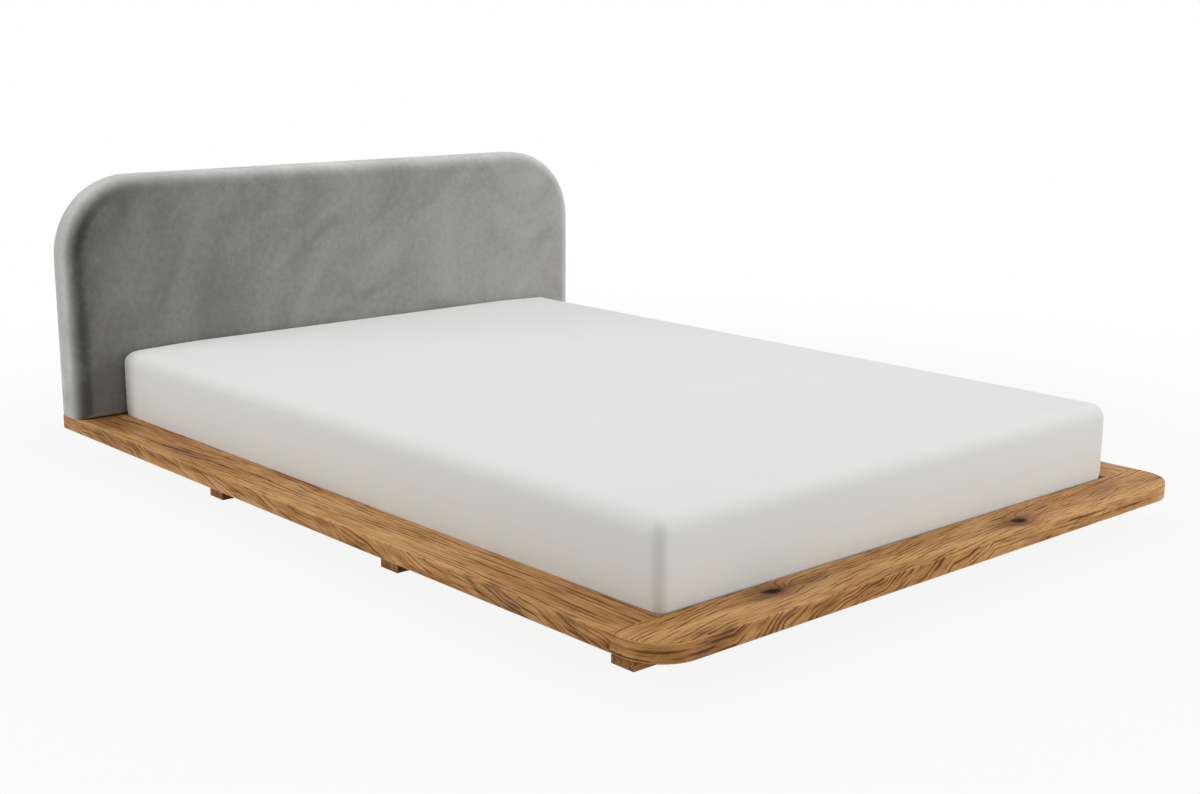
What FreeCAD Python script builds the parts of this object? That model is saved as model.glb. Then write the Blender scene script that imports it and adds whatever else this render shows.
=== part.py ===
import FreeCAD, Part
import math
import os
from types import SimpleNamespace

import Sketcher
from FreeCAD import Placement, Rotation, Vector

# A low platform bed. Flat oak boards make a frame that rests on three set-back cross beams, so it seems
# to float. A slatted base carries the mattress, let into the frame, and a padded headboard stands on the
# head end. X runs across the bed, left and right as seen from the foot, +Y points to the head and +Z up.
# The origin is on the floor under the middle of the bed. All sizes are in millimetres.

# Driving dimensions
DIMENSIONS = {
    # Mattress: edge height is from its underside to where the crown begins
    "mattress_width": 1400,
    "mattress_length": 2000,
    "mattress_edge_height": 193,
    "mattress_crown": 7,
    "mattress_crown_reach": 360,
    "mattress_corner_radius": 30,
    "mattress_top_radius": 34,
    "mattress_base_radius": 14,
    "mattress_cover_thickness": 3,
    "mattress_side_gap": 2,
    "mattress_foot_gap": 5,
    "mattress_head_gap": 4,
    "mattress_seat_gap": 0.3,
    # Frame boards, laid flat
    "rail_thickness": 40,
    "rail_width": 119,
    "foot_corner_radius": 90,
    "rail_edge_round": 5,
    # Cross beams, the first and last at their offsets from the frame's ends, and the spine lapped into them
    "beam_width": 60,
    "beam_height": 62,
    "beam_inset": 80,
    "foot_beam_offset": 143,
    "head_beam_offset": 620,
    "beam_edge_round": 2,
    "spine_width": 60,
    "spine_head_inset": 25,
    "lap_fit": 0.2,
    "pad_diameter": 40,
    "pad_thickness": 3,
    "pad_end_inset": 40,
    # Ledgers under the side rails and the slats that lie on them
    "ledger_width": 45,
    "ledger_height": 25,
    "ledger_bearing": 22,
    "slat_width": 70,
    "slat_thickness": 18,
    "slat_end_gap": 2,
    "slat_border_gap": 12,
    "slat_edge_round": 2,
    # Headboard, measured over its cover, and the pieces inside it
    "headboard_width": 1650,
    "headboard_height": 615,
    "headboard_corner_radius": 200,
    "headboard_base_radius": 24,
    "headboard_front_radius": 24,
    "headboard_back_radius": 20,
    "headboard_crown": 4,
    "headboard_crown_reach": 200,
    "headboard_cover_thickness": 2,
    "headboard_foam_depth": 40,
    "headboard_padding": 2,
    "headboard_panel_thickness": 12,
    "headboard_frame_depth": 45,
    "headboard_batten_width": 45,
    "headboard_hem_width": 40,
    # Dowels and flat plates across the joints of the frame
    "dowel_diameter": 10,
    "dowel_length": 60,
    "dowel_spacing": 60,
    "plate_length": 120,
    "plate_width": 40,
    "plate_thickness": 3,
    "plate_screw_length": 25,
    "plate_screw_diameter": 5,
    "plate_screw_head": 10,
    # Screws and bolts
    "beam_screw_length": 75,
    "beam_screw_diameter": 7,
    "beam_screw_head": 16,
    "beam_screw_head_height": 6,
    "beam_screw_spacing": 30,
    "ledger_screw_length": 45,
    "ledger_screw_diameter": 5,
    "ledger_screw_head": 10,
    "slat_screw_length": 35,
    "slat_screw_diameter": 4,
    "slat_screw_head": 8,
    "spine_screw_length": 50,
    "spine_screw_diameter": 6,
    "spine_screw_head": 12,
    "headboard_bolt_length": 80,
    "headboard_bolt_diameter": 8,
    "headboard_bolt_head": 16,
    "headboard_bolt_head_height": 6,
    "insert_diameter": 13,
    "insert_length": 25,
    # Clearances and limits shared by many pieces
    "upholstery_ease": 0.3,
    "least_radius": 2,
    "cut_overrun": 5,
}

# Counts and shares
SLAT_COUNT = 16
BEAM_NAMES = ("foot", "middle", "head")
SIDES = {"left": -1, "right": 1}
ROUND_STEPS = 6
CROWN_SHARES = (0.2, 0.45, 0.7, 1.0)
LEDGER_SCREW_SHARES = (0.12, 0.5, 0.88)
PLATE_SCREW_SHARES = (-0.4, -0.16, 0.16, 0.4)
HEADBOARD_BOLT_SHARES = (-0.6, -0.2, 0.2, 0.6)
HEAD_RAIL_SCREW_SHARE = 0.35

os.makedirs("parts", exist_ok=True)
doc = FreeCAD.newDocument("floating_bed")
sheet = doc.addObject("Spreadsheet::Sheet", "Dims")
for row, (alias, number) in enumerate(DIMENSIONS.items(), 1):
    sheet.set(f"A{row}", alias)
    sheet.set(f"B{row}", str(number))
    sheet.setAlias(f"B{row}", alias)
doc.recompute()


class Size:
    """A length worked out from the sheet: its formula binds objects and its number draws shapes."""

    def __init__(self, formula, number):
        self.formula = formula
        self.number = float(number)

    def __float__(self):
        return self.number

    def __neg__(self):
        return Size(f"(-{self.formula})", -self.number)

    def __add__(self, other):
        other = as_size(other)
        return Size(f"({self.formula} + {other.formula})", self.number + other.number)

    def __sub__(self, other):
        return self + -as_size(other)

    def __mul__(self, factor):
        return Size(f"({self.formula} * {float(factor)})", self.number * factor)

    def __truediv__(self, divisor):
        return Size(f"({self.formula} / {float(divisor)})", self.number / divisor)


def as_size(value):
    return value if isinstance(value, Size) else Size(f"({float(value)})", value)


D = SimpleNamespace(**{alias: Size(f"Dims.{alias}", sheet.get(alias)) for alias in DIMENSIONS})
ZERO = as_size(0)

# Places that several pieces share
OPENING_WIDTH = D.mattress_width + D.mattress_side_gap * 2
OPENING_LENGTH = D.mattress_length + D.mattress_foot_gap + D.mattress_head_gap
FRAME_WIDTH = OPENING_WIDTH + D.rail_width * 2
FRAME_LENGTH = OPENING_LENGTH + D.rail_width * 2
INNER_X = OPENING_WIDTH / 2
OUTER_X = FRAME_WIDTH / 2
FOOT_Y = -FRAME_LENGTH / 2
OPENING_FOOT_Y = FOOT_Y + D.rail_width
OPENING_HEAD_Y = OPENING_FOOT_Y + OPENING_LENGTH
HEAD_Y = OPENING_HEAD_Y + D.rail_width
BEAM_Z = D.pad_thickness
RAIL_Z = BEAM_Z + D.beam_height
RAIL_TOP_Z = RAIL_Z + D.rail_thickness
SLAT_TOP_Z = RAIL_Z + D.slat_thickness
BEAM_END_X = OUTER_X - D.beam_inset
LEDGER_INNER_X = INNER_X - D.ledger_bearing
LEDGER_OUTER_X = LEDGER_INNER_X + D.ledger_width

HEADBOARD_DEPTH = (D.headboard_cover_thickness * 2 + D.headboard_foam_depth
                   + D.headboard_panel_thickness * 2 + D.headboard_frame_depth)
HEADBOARD_BACK_Y = OPENING_HEAD_Y + HEADBOARD_DEPTH
HEADBOARD_TOP_Z = RAIL_TOP_Z + D.headboard_height
CORE_INSET = D.headboard_back_radius + D.headboard_padding
CORE_X = D.headboard_width / 2 - CORE_INSET
CORE_LOW_Z = RAIL_TOP_Z + CORE_INSET
CORE_TOP_Z = HEADBOARD_TOP_Z - CORE_INSET
CORE_RADIUS = D.headboard_corner_radius - CORE_INSET
FRONT_PANEL_Y = OPENING_HEAD_Y + D.headboard_cover_thickness + D.headboard_foam_depth
HEADBOARD_FRAME_Y = FRONT_PANEL_Y + D.headboard_panel_thickness
BACK_PANEL_Y = HEADBOARD_FRAME_Y + D.headboard_frame_depth
CORNER_X = CORE_X - CORE_RADIUS
CORNER_Z = CORE_TOP_Z - CORE_RADIUS

UP = Vector(0, 0, 1)
DOWN = Vector(0, 0, -1)
ALONG_X = Vector(1, 0, 0)
ALONG_Y = Vector(0, 1, 0)
NEARLY = 1e-4
nodes = []


# Helpers for bound objects

def bind(item, **formulas):
    for name, length in formulas.items():
        item.setExpression(name, length.formula)


def move(item, x, y, z):
    for axis, length in zip("xyz", (x, y, z)):
        item.setExpression(f"Placement.Base.{axis}", length.formula)


def keep(item, label):
    """Mark an object as a sub-part that is written out under its label."""
    item.Label = label
    nodes.append(item)
    return item


def across(side, near, far):
    """Low X and width of a span that lies between two distances from the middle, on one side."""
    low = near if side > 0 else -far
    return low, far - near


def bar(name, low, spans):
    """A plain square-edged bar from its low corner and its three spans."""
    item = doc.addObject("Part::Box", name)
    bind(item, Length=spans[0], Width=spans[1], Height=spans[2])
    move(item, *low)
    return item


def board(name, low, spans):
    """A board as a body: a rectangle from its low corner, padded upward."""
    body = doc.addObject("PartDesign::Body", name)
    sketch = body.newObject("Sketcher::SketchObject", name + "_outline")
    planes = [plane for plane in body.Origin.OriginFeatures if plane.Role == "XY_Plane"]
    sketch.AttachmentSupport = [(planes[0], "")]
    sketch.MapMode = "FlatFace"
    width, length = spans[0].number, spans[1].number
    corners = [Vector(0, 0), Vector(width, 0), Vector(width, length), Vector(0, length)]
    for index, corner in enumerate(corners):
        sketch.addGeometry(Part.LineSegment(corner, corners[(index + 1) % 4]))
    for index in range(4):
        sketch.addConstraint(Sketcher.Constraint("Coincident", index, 2, (index + 1) % 4, 1))
        level = "Vertical" if index % 2 else "Horizontal"
        sketch.addConstraint(Sketcher.Constraint(level, index))
    sketch.addConstraint(Sketcher.Constraint("Coincident", 0, 1, -1, 1))
    for line, kind, label in ((0, "DistanceX", "width"), (1, "DistanceY", "length")):
        sketch.addConstraint(Sketcher.Constraint(kind, line, 1, line, 2, spans[line].number))
        sketch.renameConstraint(sketch.ConstraintCount - 1, label)
        sketch.setExpression(f"Constraints.{label}", spans[line].formula)
    pad = body.newObject("PartDesign::Pad", name + "_pad")
    pad.Profile = sketch
    bind(pad, Length=spans[2])
    move(body, *low)
    doc.recompute()
    return body


def round_edges(body, radius, chosen):
    """Round the edges of a body whose middle point, direction and body box pass a test."""
    base = body.Tip
    box = base.Shape.BoundBox
    names = []
    for index, edge in enumerate(base.Shape.Edges, 1):
        half_way = (edge.FirstParameter + edge.LastParameter) / 2
        if chosen(edge.valueAt(half_way), edge.tangentAt(half_way), box):
            names.append(f"Edge{index}")
    fillet = body.newObject("PartDesign::Fillet", body.Name + "_round")
    fillet.Base = (base, names)
    bind(fillet, Radius=radius)
    doc.recompute()
    return body


def runs_along(direction, axis):
    return abs(direction.dot(axis)) > 1 - NEARLY


def drilled(label, item, *tools):
    """Cut fastener groups or other pieces out of an item, one after the other, and keep the result."""
    for index, tool in enumerate(tools):
        cut = doc.addObject("Part::Cut", f"{label}_cut_{index}")
        cut.Base = item
        cut.Tool = tool
        item = cut
    return keep(item, label)


def group(name, shapes):
    """Separate solids that share one object, such as identical screws."""
    item = doc.addObject("Part::Feature", name)
    item.Shape = Part.Compound(shapes)
    return item


# Fasteners, drawn from the surface that their head is flush with

def cylinder(diameter, length, start, direction):
    return Part.makeCylinder(diameter.number / 2, length.number, start, direction)


def countersunk_screw(size, start, direction):
    """A screw with a right-angled cone under its flat head."""
    head, diameter, length = size
    slope = (head - diameter) / 2
    cone = Part.makeCone(head.number / 2, diameter.number / 2, slope.number, start, direction)
    return cone.fuse(cylinder(diameter, length, start, direction)).removeSplitter()


def flat_head_bolt(size, start, direction):
    """A bolt with a low round head, its length measured over all."""
    head, head_height, diameter, length = size
    shank = cylinder(diameter, length, start, direction)
    return cylinder(head, head_height, start, direction).fuse(shank).removeSplitter()


def spot(x, y, z):
    return Vector(float(x), float(y), float(z))


def beam_low_y(index):
    """The beams are spaced evenly from the first, near the foot, to the last, near the head."""
    first = FOOT_Y + D.foot_beam_offset
    last = HEAD_Y - D.head_beam_offset - D.beam_width
    return first + (last - first) * (index / (len(BEAM_NAMES) - 1))


def beam_middle_y(index):
    return beam_low_y(index) + D.beam_width / 2


def slat_low_y(index):
    first = OPENING_FOOT_Y + D.slat_border_gap
    last = OPENING_HEAD_Y - D.slat_border_gap - D.slat_width
    return first + (last - first) * (index / (SLAT_COUNT - 1))


def ledger_span(index):
    """Low and high Y of a ledger, which runs from one beam to the next or to the head rail."""
    low = beam_low_y(index) + D.beam_width
    high = OPENING_HEAD_Y if index == len(BEAM_NAMES) - 1 else beam_low_y(index + 1)
    return low, high


def make_beam_screws():
    size = (D.beam_screw_head, D.beam_screw_head_height, D.beam_screw_diameter, D.beam_screw_length)
    lap_x = (INNER_X + BEAM_END_X) / 2
    shapes = []
    for index in range(len(BEAM_NAMES)):
        for side in SIDES.values():
            for turn in (-1, 1):
                y = beam_middle_y(index) + D.beam_screw_spacing * (turn / 2)
                shapes.append(flat_head_bolt(size, spot(lap_x * side, y, BEAM_Z), UP))
    head_rail_y = OPENING_HEAD_Y + D.rail_width * HEAD_RAIL_SCREW_SHARE
    for turn in (-1, 1):
        x = D.beam_screw_spacing * (turn / 2)
        shapes.append(flat_head_bolt(size, spot(x, head_rail_y, BEAM_Z), UP))
    return group("beam_screws", shapes)


def make_ledger_screws():
    size = (D.ledger_screw_head, D.ledger_screw_diameter, D.ledger_screw_length)
    x = (INNER_X + LEDGER_OUTER_X) / 2
    shapes = []
    for index in range(len(BEAM_NAMES)):
        low, high = ledger_span(index)
        for share in LEDGER_SCREW_SHARES:
            for side in SIDES.values():
                start = spot(x * side, low + (high - low) * share, RAIL_Z - D.ledger_height)
                shapes.append(countersunk_screw(size, start, UP))
    return group("ledger_screws", shapes)


def make_slat_screws():
    size = (D.slat_screw_head, D.slat_screw_diameter, D.slat_screw_length)
    x = INNER_X - D.ledger_bearing / 2
    shapes = []
    for index in range(SLAT_COUNT):
        for side in SIDES.values():
            start = spot(x * side, slat_low_y(index) + D.slat_width / 2, SLAT_TOP_Z)
            shapes.append(countersunk_screw(size, start, DOWN))
    return group("slat_screws", shapes)


def make_spine_screws():
    size = (D.spine_screw_head, D.spine_screw_diameter, D.spine_screw_length)
    starts = [spot(ZERO, beam_middle_y(index), RAIL_Z) for index in range(len(BEAM_NAMES))]
    return group("spine_screws", [countersunk_screw(size, start, DOWN) for start in starts])


def joint_places():
    """Middle of each frame joint on the underside of the boards, with the direction across the joint."""
    rail_x = (INNER_X + OUTER_X) / 2
    head_y = OPENING_HEAD_Y + D.rail_width / 2
    places = []
    for side in SIDES.values():
        places.append((spot(rail_x * side, OPENING_FOOT_Y, RAIL_Z), ALONG_Y, ALONG_X))
        places.append((spot(INNER_X * side, head_y, RAIL_Z), ALONG_X, ALONG_Y))
    return places


def make_dowels():
    middle_height = UP * (D.rail_thickness.number / 2)
    shapes = []
    for place, over, beside in joint_places():
        for turn in (-1, 1):
            middle = place + middle_height + beside * (D.dowel_spacing.number * turn / 2)
            start = middle - over * (D.dowel_length.number / 2)
            shapes.append(cylinder(D.dowel_diameter, D.dowel_length, start, over))
    return group("joint_dowels", shapes)


def make_plate_screws():
    size = (D.plate_screw_head, D.plate_screw_diameter, D.plate_screw_length)
    shapes = []
    for place, over, beside in joint_places():
        for share in PLATE_SCREW_SHARES:
            shapes.append(countersunk_screw(size, place + over * (D.plate_length.number * share), UP))
    return group("plate_screws", shapes)


def make_plate_blanks():
    """Flat steel plates let into the underside across each joint, with half-round ends."""
    shapes = []
    straight = (D.plate_length - D.plate_width).number
    for place, over, beside in joint_places():
        low = place - over * (straight / 2) - beside * (D.plate_width.number / 2)
        far = low + over * straight + beside * D.plate_width.number
        plate = Part.makeBox(far.x - low.x, far.y - low.y, D.plate_thickness.number, low)
        for turn in (-1, 1):
            end = place + over * (straight * turn / 2)
            plate = plate.fuse(cylinder(D.plate_width, D.plate_thickness, end, UP))
        shapes.append(plate.removeSplitter())
    return group("corner_plate_blanks", shapes)


def headboard_bolt_starts():
    y = HEADBOARD_FRAME_Y + D.headboard_frame_depth / 2
    return [spot(INNER_X * share, y, RAIL_Z) for share in HEADBOARD_BOLT_SHARES]


def make_headboard_bolts():
    size = (D.headboard_bolt_head, D.headboard_bolt_head_height,
            D.headboard_bolt_diameter, D.headboard_bolt_length)
    return group("headboard_bolts", [flat_head_bolt(size, start, UP) for start in headboard_bolt_starts()])


def make_insert_blanks():
    """Threaded sleeves in the bottom batten of the headboard, still without their bores."""
    rise = UP * (CORE_LOW_Z - RAIL_Z).number
    size = (D.insert_diameter, D.insert_length)
    return group("insert_blanks", [cylinder(*size, start + rise, UP) for start in headboard_bolt_starts()])


def make_felt_pads():
    pad_x = BEAM_END_X - D.pad_end_inset
    starts = []
    for index in range(len(BEAM_NAMES)):
        starts += [spot(pad_x * turn, beam_middle_y(index), ZERO) for turn in (-1, 0, 1)]
    starts.append(spot(ZERO, HEAD_Y - D.spine_head_inset - D.pad_end_inset, ZERO))
    return group("felt_pads", [cylinder(D.pad_diameter, D.pad_thickness, start, UP) for start in starts])


beam_screws = keep(make_beam_screws(), "beam_screws")
ledger_screws = keep(make_ledger_screws(), "ledger_screws")
slat_screws = keep(make_slat_screws(), "slat_screws")
spine_screws = keep(make_spine_screws(), "spine_screws")
joint_dowels = keep(make_dowels(), "joint_dowels")
plate_screws = keep(make_plate_screws(), "plate_screws")
headboard_bolts = keep(make_headboard_bolts(), "headboard_bolts")
plate_blanks = make_plate_blanks()
insert_blanks = make_insert_blanks()
drilled("corner_plates", plate_blanks, plate_screws)
drilled("headboard_inserts", insert_blanks, headboard_bolts)
keep(make_felt_pads(), "felt_pads")
RAIL_HARDWARE = (joint_dowels, plate_blanks, plate_screws, beam_screws, ledger_screws)


# Frame boards

def make_side_rail(name, side):
    """A long board, butted against the foot rail, with its outer long edges rounded."""
    low_x, width = across(side, INNER_X, OUTER_X)
    blank = board(name + "_blank", (low_x, OPENING_FOOT_Y, RAIL_Z),
                  (width, HEAD_Y - OPENING_FOOT_Y, D.rail_thickness))

    def outer(middle, direction, box):
        edge_x = box.XMax if side > 0 else box.XMin
        return runs_along(direction, ALONG_Y) and abs(middle.x - edge_x) < NEARLY

    round_edges(blank, D.rail_edge_round, outer)
    drilled(name, blank, *RAIL_HARDWARE)


def make_foot_rail():
    """The full-width board at the foot, with two large round corners and rounded outer edges."""
    blank = board("foot_rail_blank", (-OUTER_X, FOOT_Y, RAIL_Z),
                  (FRAME_WIDTH, D.rail_width, D.rail_thickness))

    def front_corner(middle, direction, box):
        return runs_along(direction, UP) and abs(middle.y - box.YMin) < NEARLY

    def outline(middle, direction, box):
        return abs(direction.z) < NEARLY and abs(middle.y - box.YMax) > NEARLY

    round_edges(blank, D.foot_corner_radius, front_corner)
    round_edges(blank, D.rail_edge_round, outline)
    drilled("foot_rail", blank, *RAIL_HARDWARE)


def make_head_rail():
    """The board between the side rails that carries the headboard."""
    blank = board("head_rail_blank", (-INNER_X, OPENING_HEAD_Y, RAIL_Z),
                  (OPENING_WIDTH, D.rail_width, D.rail_thickness))

    def back(middle, direction, box):
        return runs_along(direction, ALONG_X) and abs(middle.y - box.YMax) < NEARLY

    round_edges(blank, D.rail_edge_round, back)
    drilled("head_rail", blank, *RAIL_HARDWARE, headboard_bolts)


for side_name, side_sign in SIDES.items():
    make_side_rail(f"{side_name}_side_rail", side_sign)
make_foot_rail()
make_head_rail()


# Cross beams, spine, ledgers and slats

def make_cross_beam(index, name):
    """A beam across the bed, with a housing for the spine in the upper half of its middle."""
    blank = board(name + "_blank", (-BEAM_END_X, beam_low_y(index), BEAM_Z),
                  (BEAM_END_X * 2, D.beam_width, D.beam_height))
    round_edges(blank, D.beam_edge_round, lambda middle, direction, box: runs_along(direction, ALONG_X))
    half_width = D.spine_width / 2 + D.lap_fit
    housing = bar(name + "_housing",
                  (-half_width, beam_low_y(index) - D.cut_overrun, BEAM_Z + D.beam_height / 2),
                  (half_width * 2, D.beam_width + D.cut_overrun * 2, D.beam_height / 2 + D.cut_overrun))
    drilled(name, blank, housing, beam_screws, slat_screws, spine_screws)


def make_spine():
    """The bar along the middle, lapped over each cross beam and reaching under the head rail."""
    low_y = beam_low_y(0)
    item = bar("centre_spine_blank", (-D.spine_width / 2, low_y, BEAM_Z),
               (D.spine_width, HEAD_Y - D.spine_head_inset - low_y, D.beam_height))
    laps = []
    for index, name in enumerate(BEAM_NAMES):
        lap_y = beam_low_y(index) - (D.cut_overrun if index == 0 else D.lap_fit)
        lap_end = beam_low_y(index) + D.beam_width + D.lap_fit
        laps.append(bar(f"spine_lap_{name}", (-D.spine_width, lap_y, BEAM_Z - D.cut_overrun),
                        (D.spine_width * 2, lap_end - lap_y, D.beam_height / 2 + D.cut_overrun)))
    drilled("centre_spine", item, *laps, beam_screws, spine_screws)


def make_ledger(index, side_name, side):
    low_x, width = across(side, LEDGER_INNER_X, LEDGER_OUTER_X)
    low_y, high_y = ledger_span(index)
    name = f"{side_name}_ledger_{BEAM_NAMES[index]}"
    blank = bar(name + "_blank", (low_x, low_y, RAIL_Z - D.ledger_height),
                (width, high_y - low_y, D.ledger_height))
    drilled(name, blank, ledger_screws, slat_screws)


def make_slat(index):
    name = f"slat_{index + 1:02d}"
    half_length = INNER_X - D.slat_end_gap
    blank = board(name + "_blank", (-half_length, slat_low_y(index), RAIL_Z),
                  (half_length * 2, D.slat_width, D.slat_thickness))
    round_edges(blank, D.slat_edge_round, lambda middle, direction, box: runs_along(direction, ALONG_X))
    drilled(name, blank, slat_screws)


for beam_index, beam_name in enumerate(BEAM_NAMES):
    make_cross_beam(beam_index, f"cross_beam_{beam_name}")
make_spine()
for beam_index in range(len(BEAM_NAMES)):
    for side_name, side_sign in SIDES.items():
        make_ledger(beam_index, side_name, side_sign)
for slat_index in range(SLAT_COUNT):
    make_slat(slat_index)


# Soft forms

def rounded_wire(edges, radii, inset, to_space):
    """Rectangle of lines and quarter arcs, moved inward; edges are left, right, low, high."""
    left, right, low, high = edges[0] + inset, edges[1] - inset, edges[2] + inset, edges[3] - inset
    low_radius, high_radius = (max(radius - inset, D.least_radius.number) for radius in radii)
    diagonal = 1 - math.sqrt(0.5)
    corners = [(right, low, low_radius, -1, 1), (right, high, high_radius, -1, -1),
               (left, high, high_radius, 1, -1), (left, low, low_radius, 1, 1)]
    arcs = []
    for index, (u, v, radius, in_u, in_v) in enumerate(corners):
        on_low_or_high = to_space(u + in_u * radius, v)
        on_side = to_space(u, v + in_v * radius)
        middle = to_space(u + in_u * radius * diagonal, v + in_v * radius * diagonal)
        ends = (on_side, on_low_or_high) if index % 2 else (on_low_or_high, on_side)
        arcs.append(Part.Arc(ends[0], middle, ends[1]))
    edges = []
    for arc, following in zip(arcs, arcs[1:] + arcs[:1]):
        edges += [arc.toShape(), Part.LineSegment(arc.EndPoint, following.StartPoint).toShape()]
    return Part.Wire(edges)


def crowned_form(edges, radii, depth, base_radius, face_radius, crown, reach, offset, to_space):
    """A padded block: rounded at its base and its face, with the face rising to a low crown.

    Its outline shrinks along the depth by a quarter round at the base, a quarter round at the edge of the
    face and then slowly to the crown. The offset moves every face inward, for a layer inside another.
    """
    edges = (edges[0] + offset, edges[1] - offset, edges[2] + offset, edges[3] - offset)
    radii = [max(radius - offset, D.least_radius.number) for radius in radii]
    base_radius, face_radius = base_radius - offset, face_radius - offset
    edge_depth = depth - crown - offset
    turns = [math.pi / 2 * step / ROUND_STEPS for step in range(ROUND_STEPS + 1)]
    profile = []
    for turn in turns:
        profile.append((base_radius * (1 - math.sin(turn)), offset + base_radius * (1 - math.cos(turn))))
    for turn in turns:
        profile.append((face_radius * (1 - math.cos(turn)), edge_depth - face_radius * (1 - math.sin(turn))))
    for share in CROWN_SHARES:
        inset = face_radius + (reach - face_radius) * share
        profile.append((inset, edge_depth + crown * share * (2 - share)))
    wires = [rounded_wire(edges, radii, inset, to_space(level)) for inset, level in profile]
    return Part.makeLoft(wires, True, True)


def soft(name, shape):
    item = doc.addObject("Part::Feature", name)
    item.Shape = shape
    return item


def mattress_form(name, offset):
    """The mattress at a depth below its surface, lying on the slats."""
    half_width = D.mattress_width.number / 2
    foot = (OPENING_FOOT_Y + D.mattress_foot_gap).number
    base = (SLAT_TOP_Z + D.mattress_seat_gap).number
    edges = (-half_width, half_width, foot, foot + D.mattress_length.number)
    radius = D.mattress_corner_radius.number
    depth = (D.mattress_edge_height + D.mattress_crown).number
    shape = crowned_form(edges, (radius, radius), depth, D.mattress_base_radius.number,
                         D.mattress_top_radius.number, D.mattress_crown.number,
                         D.mattress_crown_reach.number, offset.number,
                         lambda level: lambda u, v: Vector(u, v, base + level))
    return soft(name, shape)


def headboard_form(name, offset):
    """The headboard at a depth below its surface, crowned towards the foot."""
    half_width = D.headboard_width.number / 2
    back = HEADBOARD_BACK_Y.number
    edges = (-half_width, half_width, RAIL_TOP_Z.number, HEADBOARD_TOP_Z.number)
    radii = (D.headboard_base_radius.number, D.headboard_corner_radius.number)
    shape = crowned_form(edges, radii, HEADBOARD_DEPTH.number, D.headboard_back_radius.number,
                         D.headboard_front_radius.number, D.headboard_crown.number,
                         D.headboard_crown_reach.number, offset.number,
                         lambda level: lambda u, v: Vector(u, back - level, v))
    return soft(name, shape)


def make_mattress():
    """A foam core inside a closed sewn cover."""
    inside = mattress_form("mattress_inside", D.mattress_cover_thickness)
    drilled("mattress_cover", mattress_form("mattress_outside", ZERO), inside)
    keep(mattress_form("mattress_core_form", D.mattress_cover_thickness + D.upholstery_ease), "mattress_core")


make_mattress()


# Headboard: a batten frame between two panels, foam, a cover and a back cloth

def round_top_corners(body, radius):
    def top_corner(middle, direction, box):
        return runs_along(direction, ALONG_Y) and abs(middle.z - box.ZMax) < NEARLY
    return round_edges(body, radius, top_corner)


def core_board(name, low_y, depth):
    """A board with the outline of the stiff core, round at its two top corners."""
    body = board(name, (-CORE_X, low_y, CORE_LOW_Z), (CORE_X * 2, depth, CORE_TOP_Z - CORE_LOW_Z))
    return round_top_corners(body, CORE_RADIUS)


def make_headboard_frame():
    depth, width = D.headboard_frame_depth, D.headboard_batten_width
    post_x = CORE_X - width
    batten_top = CORE_LOW_Z + width
    top_low = CORE_TOP_Z - width
    bottom_batten = bar("bottom_batten_blank", (-post_x, HEADBOARD_FRAME_Y, CORE_LOW_Z),
                        (post_x * 2, depth, width))
    drilled("headboard_bottom_batten", bottom_batten, insert_blanks, headboard_bolts)
    top_batten = bar("top_batten_bar", (-CORNER_X, HEADBOARD_FRAME_Y, top_low), (CORNER_X * 2, depth, width))
    keep(top_batten, "headboard_top_batten")
    centre_post = bar("centre_post_bar", (-width / 2, HEADBOARD_FRAME_Y, batten_top),
                      (width, depth, top_low - batten_top))
    keep(centre_post, "headboard_centre_post")
    for side_name, side in SIDES.items():
        low_x, span = across(side, post_x, CORE_X)
        post = bar(f"{side_name}_post_bar", (low_x, HEADBOARD_FRAME_Y, CORE_LOW_Z),
                   (span, depth, CORNER_Z - CORE_LOW_Z))
        keep(post, f"headboard_{side_name}_post")


def make_corner_block(side_name, side):
    """A quarter ring that carries the frame round a top corner."""
    turn = Rotation(ALONG_X, 90)
    if side < 0:
        turn = Rotation(ALONG_Y, -90) * turn
    rounds = []
    for part, radius in (("outer", CORE_RADIUS), ("inner", CORE_RADIUS - D.headboard_batten_width)):
        wedge = doc.addObject("Part::Cylinder", f"{side_name}_corner_{part}")
        bind(wedge, Radius=radius, Height=D.headboard_frame_depth)
        wedge.Angle = 90
        wedge.Placement = Placement(Vector(), turn)
        move(wedge, CORNER_X * side, BACK_PANEL_Y, CORNER_Z)
        rounds.append(wedge)
    drilled(f"headboard_{side_name}_corner_block", *rounds)


def make_upholstery():
    """Foam round the core, a cover sewn over it and turned in at the back, and a cloth in the opening."""
    core_depth = D.headboard_panel_thickness * 2 + D.headboard_frame_depth
    core = core_board("headboard_core_space", FRONT_PANEL_Y, core_depth)
    foam = headboard_form("headboard_foam_form", D.headboard_cover_thickness + D.upholstery_ease)
    drilled("headboard_foam", foam, core, headboard_bolts)
    hem_x = D.headboard_width / 2 - D.headboard_hem_width
    hem_low, hem_top = RAIL_TOP_Z + D.headboard_hem_width, HEADBOARD_TOP_Z - D.headboard_hem_width
    cloth_y = HEADBOARD_BACK_Y - D.headboard_cover_thickness
    cloth_radius = D.headboard_corner_radius - D.headboard_hem_width
    cloth = board("back_cloth_body", (-hem_x, cloth_y, hem_low),
                  (hem_x * 2, D.headboard_cover_thickness, hem_top - hem_low))
    keep(round_top_corners(cloth, cloth_radius), "headboard_back_cloth")
    inside = headboard_form("headboard_inside", D.headboard_cover_thickness)
    drilled("headboard_cover", headboard_form("headboard_outside", ZERO), inside, cloth, headboard_bolts)


keep(core_board("front_panel_body", FRONT_PANEL_Y, D.headboard_panel_thickness), "headboard_front_panel")
keep(core_board("back_panel_body", BACK_PANEL_Y, D.headboard_panel_thickness), "headboard_back_panel")
make_headboard_frame()
for side_name, side_sign in SIDES.items():
    make_corner_block(side_name, side_sign)
make_upholstery()


# Recompute, check and write each sub-part

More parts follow.
